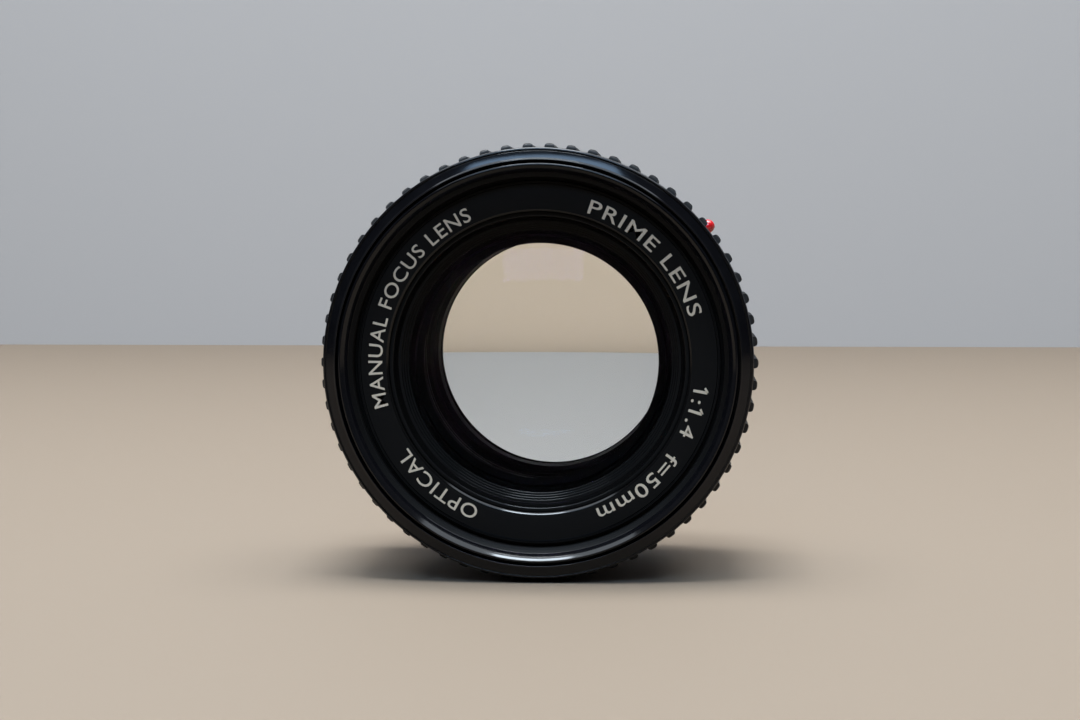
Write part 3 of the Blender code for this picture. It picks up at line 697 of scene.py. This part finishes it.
def makeFocusRing():
    size = focusRing
    seat = size["seat"]
    nose = size["nose"]
    front = size["gripFront"]
    outline = [(29.35, 41.92, 0.04), (29.47, 41.92, 0.05), (29.66, 41.73, 0.03), (30.7, 41.4, 0.06),
               (30.74, 41.1), (30.86, 41.1), (30.88, 41.42, 0.05), (nose, 41.4, 0.26),
               (nose, front + 0.2, 0.05), (seat, front + 0.1), (seat, 23.2),
               (size["scaleRadius"], 23.2, 0.12),
               (size["scaleRadius"], size["back"], 0.15), (29.6, size["back"]), (29.6, 36.0),
               (26.3, 36.0), (26.3, 37.3), (29.35, 37.3)]
    finishPiece("focusRingFine", turn(outline), "focus_ring_body", "enamel",
                ["focus_ring"])


rubberGrip = {"columns": 62, "rows": 6, "base": 31.3, "tip": 31.93, "inner": 30.73, "edge": 0.05,
              "width": 1.45, "groove": 0.75}


def makeGrip():
    size = rubberGrip
    back, front = focusRing["gripBack"], focusRing["gripFront"]
    bm = turn([(size["base"], front, 0.15), (size["base"], back, 0.15), (size["inner"], back),
               (size["inner"], front)], 248)
    room = front - back - 2 * size["edge"] + size["groove"]
    length = room / size["rows"] - size["groove"]
    pad = brick(0.9, size["width"], length, (size["tip"] - 0.45, 0, 0))
    roundTop(pad, size["base"], 0.5, 3)
    places = []
    for row in range(size["rows"]):
        middle = back + size["edge"] + length / 2 + row * (length + size["groove"])
        for column in range(size["columns"]):
            places.append(spun(360 / size["columns"] * column) @ Matrix.Translation((0, 0, middle)))
    scatter(bm, pad, places)
    finishPiece("rubberGripFine", bm, "focus_ring_body", "rubber", ["rubber_grip"])


focusScale = {"metres": (10, 5, 3, 2, 1.5, 1.2, 1, 0.8, 0.7, 0.6, 0.5),
              "feet": (30, 15, 10, 7, 5, 4, 3.5, 3, 2.5, 2.2, 2, 1.8), "focal": 51.6, "throw": 200,
              "travel": 6.8, "height": 1.55, "metreRow": 18.75, "footRow": 21.0}


def focusTurn(metres):  # how far the ring has turned from infinity at a distance
    def extension(distance):
        half = distance * 1000 / focusScale["focal"] - 2
        return (half - math.sqrt(half * half - 4)) / 2
    return focusScale["throw"] * extension(metres) / extension(0.5)


def makeHelicoid():
    outline = [(29.3, 33.0), (29.3, 18.2, 0.1), (27.95, 18.2, 0.1)]
    s = 19.0
    while s < 32.5:
        outline += [(27.95, s), (28.2, s + 0.25), (28.2, s + 0.5), (27.95, s + 0.75)]
        s += 1.0
    outline.append((27.95, 33.0))
    finishPiece("focusHelicoidFine", turn(outline, innerSteps), "focus_ring_body",
                "brass", ["focus_helicoid"])


def makeFocusScale():
    size = focusScale
    radius = focusRing["scaleRadius"]
    white = []
    amber = []
    for metres in size["metres"]:
        label = glyphs(f"{metres:g}", size["height"])
        white.append(bendOnBarrel(label, radius, 90 - focusTurn(metres), size["metreRow"]))
    for feet in size["feet"]:
        label = glyphs(f"{feet:g}", size["height"])
        amber.append(bendOnBarrel(label, radius, 90 - focusTurn(feet * 0.3048), size["footRow"]))
    loops = []
    for side in (-1, 1):  # the infinity sign, as two rings side by side
        deep = markDepth / 2
        loop = turn([(0.62, deep), (0.62, -deep), (0.4, -deep), (0.4, deep)], 24)
        bmesh.ops.translate(loop, verts=loop.verts[:], vec=(side * 0.52, 0.78, 0))
        loops.append(loop)
    white.append(bendOnBarrel(gather(loops), radius, 90, size["metreRow"]))
    white.append(bendOnBarrel(glyphs("m", 1.3), radius, 99.5, size["metreRow"]))
    amber.append(bendOnBarrel(glyphs("ft", 1.3), radius, 99.5, size["footRow"]))
    finishPiece("metreFigures", gather(white), "focus_ring_body", "white", smooth=20)
    finishPiece("footFigures", gather(amber), "focus_ring_body", "amber", smooth=20)


makeFocusRing()
makeGrip()
makeHelicoid()
makeFocusScale()
print("focus ring made")


stops = ("1.4", "2", "2.8", "4", "5.6", "8", "11", "16")
stopStep = 50 / (len(stops) - 1)  # degrees
scaleRing = {"radius": 31.0, "back": 12.9, "front": 17.6, "blur": 0.033, "screwHeight": 14.2}
scaleScrewAngles = (135, 255, 375)


def makeRearBarrel():
    outline = [(27.5, 31.0, 0.1)]
    s = 30.6
    while s > 18.2:  # the helicoid, as rings at the thread's pitch
        outline += [(27.5, s), (27.15, s - 0.25), (27.15, s - 0.5), (27.5, s - 0.75)]
        s -= 1.0
    outline += [(27.5, 17.4), (28.6, 17.4), (28.6, 1.9), (26.0, 1.9), (26.0, 3.6), (24.4, 3.6),
                (24.4, 4.6), (27.1, 4.6), (27.1, 31.0)]
    finishPiece("rearBarrelFine", turn(outline, innerSteps), "barrel", "enamel",
                ["rear_barrel"])


def tick(width, length, radius, degrees, forward):
    return bendOnBarrel(brick(width, length, markDepth), radius, degrees, forward)


def makeScaleRing():
    size = scaleRing
    radius = size["radius"]
    outline = [(radius, size["front"], 0.15), (radius, 15.35, 0.03), (radius - 0.08, 15.3),
               (radius - 0.08, 15.15), (radius, 15.1, 0.03), (radius, size["back"], 0.15),
               (28.9, size["back"]), (28.9, size["front"])]
    holes = []
    for angle in scaleScrewAngles:
        hole = peg(0.8, -1.0, 1.0)
        hole.transform(standing(radius, angle, size["screwHeight"]))
        holes.append(hole)
    finishPiece("scaleRingFine", carve(turn(outline), holes), "barrel", "enamel",
                ["depth_scale_ring"])
    marks = [tick(0.32, 2.2, radius, 90, 16.45)]
    perMillimetre = focusScale["throw"] / focusScale["travel"]
    for stop, label in ((2.8, ""), (4, "4"), (5.6, ""), (8, "8"), (11, ""), (16, "16")):
        angle = stop * size["blur"] * perMillimetre
        for side in (-1, 1):
            marks.append(tick(0.16, 1.1 if label else 0.7, radius, 90 + side * angle, 16.95))
            if label:
                marks.append(bendOnBarrel(glyphs(label, 1.05), radius, 90 + side * angle, 15.42))
    marks.append(tick(0.32, 1.6, radius, 90, 13.95))
    finishPiece("depthMarks", gather(marks), "barrel", "white", smooth=20)
    infrared = tick(0.22, 1.1, radius, 86.2, 16.95)
    finishPiece("infraredMark", infrared, "barrel", "redPaint", smooth=20)


def makeScaleScrews():
    for number, angle in enumerate(scaleScrewAngles, 1):
        screw = turn([(0.0, 0.0), (0.6, 0.0, 0.08), (0.6, -0.45), (0.384, -0.8), (0.36, -1.7),
                      (0.0, -1.7)], 32, closed=False)
        screw = carve(screw, [brick(1.44, 0.28, 0.5, (0, 0, -0.05))])
        screw.transform(standing(30.75, angle, scaleRing["screwHeight"]))
        finishPiece(f"scaleScrewFine{number}", screw, "barrel", "steel",
                    [f"scale_screw_{number}"])


skirt = {"radius": 31.3, "beadAngle": 39, "beadHeight": 3.9}


def makeSkirt():
    radius = skirt["radius"]
    beadPlace = standing(radius, skirt["beadAngle"], skirt["beadHeight"])
    outline = [(radius, 5.6, 0.12), (radius, 2.75, 0.2), (30.45, 1.9, 0.12), (28.9, 1.9), (28.9, 5.6)]
    seat = peg(1.25, -1.5, 1.0, 40)
    seat.transform(beadPlace)
    finishPiece("mountSkirtFine", carve(turn(outline), [seat]), "barrel", "enamel",
                ["mount_skirt"])
    bead = turn([(0.0, 1.72), (0.45, 1.63), (0.82, 1.36), (1.04, 0.95), (1.1, 0.45), (1.1, -1.2, 0.1),
                 (0.0, -1.2)], 40, closed=False)
    bead.transform(beadPlace)
    finishPiece("indexBeadFine", bead, "barrel", "red", ["index_bead"], smooth=60)


apertureRing = {"radius": 31.4, "groove": 31.0, "back": 5.9, "front": 12.6, "ribs": 96}


def makeApertureRing():
    size = apertureRing
    radius = size["radius"]
    outline = [(radius - 0.05, size["front"], 0.2), (radius - 0.05, 9.75, 0.1), (size["groove"], 9.5, 0.05),
               (size["groove"], 6.55, 0.05), (radius - 0.1, 6.35, 0.08), (radius - 0.1, size["back"], 0.12),
               (28.9, size["back"]), (28.9, size["front"])]
    bm = turn(outline)
    rib = brick(0.75, 1.15, 2.85, (size["radius"] - 0.375, 0, 8.02))
    roundTop(rib, size["groove"], 0.22, 2)
    places = [spun(360 / size["ribs"] * (i + 0.5)) for i in range(size["ribs"])]
    scatter(bm, rib, places)
    finishPiece("apertureRingFine", bm, "aperture_ring_body", "enamel",
                ["aperture_ring"])
    figures = [bendOnBarrel(glyphs(label, 1.75), radius - 0.05, 90 + stopStep * i, 10.25)
               for i, label in enumerate(stops)]
    last = figures.pop()
    finishPiece("stopFigures", gather(figures), "aperture_ring_body", "white", smooth=20)
    finishPiece("smallestStop", last, "aperture_ring_body", "green", smooth=20)


makeRearBarrel()
makeScaleRing()
makeScaleScrews()
makeSkirt()
makeApertureRing()
print("scales and aperture ring made")


bayonet = {"flange": 29.4, "pilot": 22.45, "bore": 21.2, "reach": 4.6, "lug": 23.9, "lugDegrees": 52,
           "screwCircle": 27.3, "lockSlot": 150}
mountScrewAngles = [18 + 72 * i for i in range(5)]


def makeBayonet():
    size = bayonet
    outline = [(size["flange"], 1.6, 0.1), (size["flange"], 0.0, 0.18), (25.0, 0.0, 0.03), (24.95, 0.08),
               (24.6, 0.08), (24.55, 0.0, 0.03), (size["pilot"], 0.0), (size["pilot"], -size["reach"], 0.2),
               (size["bore"], -size["reach"], 0.2), (size["bore"], 1.6)]
    bm = turn(outline)
    lugs = []
    half = size["lugDegrees"] / 2
    for middle in (90, 210, 330):
        lugs.append(sector(size["pilot"] - 0.5, size["lug"], -4.5, -3.1, middle - half, middle + half,
                           36, 0.12))
    bm = carve(bm, lugs, "UNION")
    cuts = []
    for angle in mountScrewAngles:
        sink = turn([(0.0, 2.0), (0.95, 2.0), (0.95, 0.9), (1.75, -0.05), (1.75, -0.4), (0.0, -0.4)], 32,
                    closed=False)
        bmesh.ops.translate(sink, verts=sink.verts[:], vec=(*polar(size["screwCircle"], angle), 0))
        cuts.append(sink)
    slot = brick(1.4, 3.2, 4.0, (24.9, 0, 0.7))
    roundEdges(slot, 0.5, 3)
    slot.transform(spun(size["lockSlot"]))
    cuts.append(slot)
    finishPiece("bayonetFine", carve(bm, cuts), "barrel", "chrome", ["bayonet_mount"])


def makeMountScrews():
    for i, angle in enumerate(mountScrewAngles):
        screw = turn([(0.0, 0.02), (1.0, 0.02), (1.42, 0.1, 0.05), (0.75, 0.85), (0.65, 1.0), (0.6, 4.0),
                      (0.0, 4.2)], 32, closed=False)
        screw = carve(screw, [brick(1.5, 0.3, 0.9), brick(0.3, 1.5, 0.9)])
        slotTurn = spun(17 * i + 8)  # no two slots stand alike
        screw.transform(Matrix.Translation((*polar(bayonet["screwCircle"], angle), 0.04)) @ slotTurn)
        finishPiece(f"mountScrewFine{i + 1}", screw, "barrel", "steel", [f"mount_screw_{i + 1}"])


def makeRearCover():
    cover = sector(18.6, 20.9, 0.3, 1.2, 237, 548, 160, 0.08)
    finishPiece("rearCoverFine", cover, "barrel", "matt", ["rear_cover"])


def softened(node, width, body, look, name):  # a carried-over part with its edges eased
    bm = bmesh.new()
    bm.from_mesh(frame["nodes"][node].data)
    bm.transform(axisFrame.inverted())
    bmesh.ops.remove_doubles(bm, verts=bm.verts[:], dist=0.001)
    bmesh.ops.dissolve_limit(bm, angle_limit=math.radians(1), verts=bm.verts[:], edges=bm.edges[:])
    roundEdges(bm, width)
    finishPiece(name, bm, body, look, [node])


makeBayonet()
makeMountScrews()
makeRearCover()
softened("stop_down_lever", 0.15, "stop_down", "steel", "stopDownLeverFine")
softened("drive_prong", 0.12, "stop_down", "steel", "driveProngFine")
softened("meter_lug", 0.3, "aperture_ring_body", "enamel", "meterLugFine")
print("mount made")


blade = {"count": 6, "inner": 13.3, "outer": 19.4, "span": 126, "pivot": 20.3, "ear": 21.2, "back": 17.2,
         "pitch": 0.2, "thick": 0.1, "pin": 0.5, "drive": 14.0}


def arcPoints(radius, start, end, steps):
    return [polar(radius, start + (end - start) * i / steps) for i in range(steps + 1)]


def makeBlades():
    size = blade
    points = arcPoints(size["inner"], 12, size["span"] - 3, 48)
    points.append(polar((size["inner"] + size["outer"]) / 2, size["span"] + 1.5))
    points += arcPoints(size["outer"], size["span"] - 2, 22, 40)
    points += arcPoints(size["ear"], 17, -2, 8)
    points += [polar(size["pivot"], -2.9), polar(size["outer"], -2)]
    for i in range(size["count"]):
        back = size["back"] + size["pitch"] * i
        bm = bmesh.new()
        face = bm.faces.new([bm.verts.new((x, y, back)) for x, y in points])
        grown = bmesh.ops.extrude_face_region(bm, geom=[face])["geom"]
        bmesh.ops.translate(bm, verts=[item for item in grown if isinstance(item, bmesh.types.BMVert)],
                            vec=(0, 0, size["thick"]))
        bmesh.ops.recalc_face_normals(bm, faces=bm.faces[:])
        pins = [peg(size["pin"], 16.3, back + 0.05, 20), peg(size["pin"], back + 0.05, 19.05, 20)]
        bmesh.ops.translate(pins[0], verts=pins[0].verts[:], vec=(size["pivot"], 0, 0))
        bmesh.ops.translate(pins[1], verts=pins[1].verts[:], vec=(*polar(size["pivot"], size["drive"]), 0))
        bm = carve(bm, pins, "UNION")
        bm.transform(spun(360 / size["count"] * i))
        finishPiece(f"irisBladeFine{i + 1}", bm, f"blade_body_{i + 1}", "blued",
                    [f"blade_{i + 1}"])


makeBlades()
print("iris made")


carried = {"matt": ("head_barrel",),
           "steel": ("stop_down_ring", "cam_ring", "click_ball", "click_spring", "return_spring",
                     "guide_key_1", "guide_key_2", "helicoid_screw_1", "helicoid_screw_2",
                     "helicoid_screw_3")}
for look, nodes in carried.items():
    for node in nodes:
        mesh = frame["nodes"][node].data
        mesh.materials.clear()
        mesh.materials.append(finishes[look])
print("carried-over parts finished")


stage = {"floor": (0.205, 0.159, 0.117), "wall": (0.397, 0.385, 0.379), "wallBehind": 0.78, "reach": 2.4}


def stagePaint(name, color):
    finish = Finish(name)
    clouds = finish.noise(finish.node("ShaderNodeTexCoord", out=3), 1.2, 3.0)
    soft = tuple(channel * 0.96 for channel in color)
    finish.set(Base_Color=finish.blendColor(clouds, color, soft), Roughness=0.7, Specular_IOR_Level=0.2)
    return finish.material


def makeStage():
    reach = stage["reach"]
    wallY = stage["wallBehind"]
    for name, color, corners in (
            ("floor", "floor", [(-reach, -reach, 0), (reach, -reach, 0), (reach, wallY, 0),
                                (-reach, wallY, 0)]),
            ("backdrop", "wall", [(-reach, wallY, 0), (reach, wallY, 0), (reach, wallY, reach),
                                  (-reach, wallY, reach)])):
        bm = bmesh.new()
        bm.faces.new([bm.verts.new(corner) for corner in corners])
        sheet = bpy.data.objects.new(name, toMesh(bm, name))
        sheet.data.materials.append(stagePaint(name + "Paint", stage[color]))
        bpy.context.collection.objects.link(sheet)


softboxes = {  # metres and watts
    "overhead": {"place": (-0.04, 0.07, 1.0), "target": (-0.04, 0, 0.03), "size": (0.4, 0.28),
                 "power": 6.5, "color": (0.92, 0.96, 1.0)},
    "ceiling": {"place": (-0.04, -0.3, 0.95), "target": (-0.04, -0.04, 0.03), "size": (0.4, 0.16),
                "power": 7.5, "color": (0.8, 0.9, 1.0)},
    "window": {"place": (-0.05, -0.95, 0.8), "target": (-0.05, 0, 0.03), "size": (0.7, 0.3),
               "power": 6.5, "color": (0.45, 0.68, 1.0)},
    "sky": {"place": (0.0, 0.1, 2.2), "target": (0.0, 0.09, 0.0), "size": (3.0, 2.4),
            "power": 85.0, "color": (0.84, 0.92, 1.0)},
    "wallWash": {"place": (0.0, 0.25, 1.6), "target": (0, 0.78, 0.3), "size": (1.8, 0.5),
                 "power": 15.0, "color": (0.94, 0.97, 1.0)},
}
room = {"front": (0.02, 0.021, 0.023), "back": (0.3, 0.31, 0.33), "from": 0.3, "to": 0.75}


def makeSoftbox(name, settings):
    light = bpy.data.lights.new(name, "AREA")
    light.shape = "RECTANGLE"
    light.size, light.size_y = settings["size"]
    light.energy = settings["power"]
    light.color = settings["color"]
    lamp = bpy.data.objects.new(name, light)
    place = Vector(settings["place"])
    lamp.location = place
    lamp.rotation_euler = (Vector(settings["target"]) - place).to_track_quat("-Z", "Y").to_euler()
    bpy.context.collection.objects.link(lamp)


def makeRoom():  # light from all round, dark in front and paler behind
    world = bpy.data.worlds.new("room")
    world.use_nodes = True
    tree = world.node_tree
    coordinates = tree.nodes.new("ShaderNodeTexCoord")
    split = tree.nodes.new("ShaderNodeSeparateXYZ")
    widen = tree.nodes.new("ShaderNodeMath")  # from -1..1 to 0..1
    widen.operation = "MULTIPLY_ADD"
    widen.inputs[1].default_value = 0.5
    widen.inputs[2].default_value = 0.5
    ramp = tree.nodes.new("ShaderNodeValToRGB")
    places = (room["from"], room["to"])
    colors = (room["front"], room["back"])
    for stop, position, color in zip(ramp.color_ramp.elements, places, colors):
        stop.position = position
        stop.color = (*color, 1)
    tree.links.new(coordinates.outputs["Generated"], split.inputs[0])
    tree.links.new(split.outputs["Y"], widen.inputs[0])
    tree.links.new(widen.outputs[0], ramp.inputs[0])
    tree.links.new(ramp.outputs[0], tree.nodes["Background"].inputs[0])
    bpy.context.scene.world = world


shot = {"distance": 340.0, "right": 21.9, "up": 17.2, "aimRight": 0.45, "aimUp": 0.57, "focal": 78.9}


def makeCamera():
    data = bpy.data.cameras.new("camera")
    data.sensor_width = 36.0
    data.lens = shot["focal"]
    data.clip_start = 0.01
    data.clip_end = 20
    camera = bpy.data.objects.new("camera", data)
    rimY = mountPoints["front_rim"][1]
    place = Vector((shot["right"] * mm, rimY - shot["distance"] * mm, axisZ + shot["up"] * mm))
    aim = Vector((shot["aimRight"] * mm, rimY, axisZ + shot["aimUp"] * mm))
    camera.location = place
    camera.rotation_euler = (aim - place).to_track_quat("-Z", "Y").to_euler()
    bpy.context.collection.objects.link(camera)
    bpy.context.scene.camera = camera


makeStage()
for name, settings in softboxes.items():
    makeSoftbox(name, settings)
makeRoom()
makeCamera()
scene = bpy.context.scene
scene.view_settings.view_transform = "Standard"
scene.cycles.max_bounces = 32
scene.cycles.transmission_bounces = 32
scene.cycles.caustics_refractive = False
scene.cycles.caustics_reflective = False
print("stage, lights and camera made")
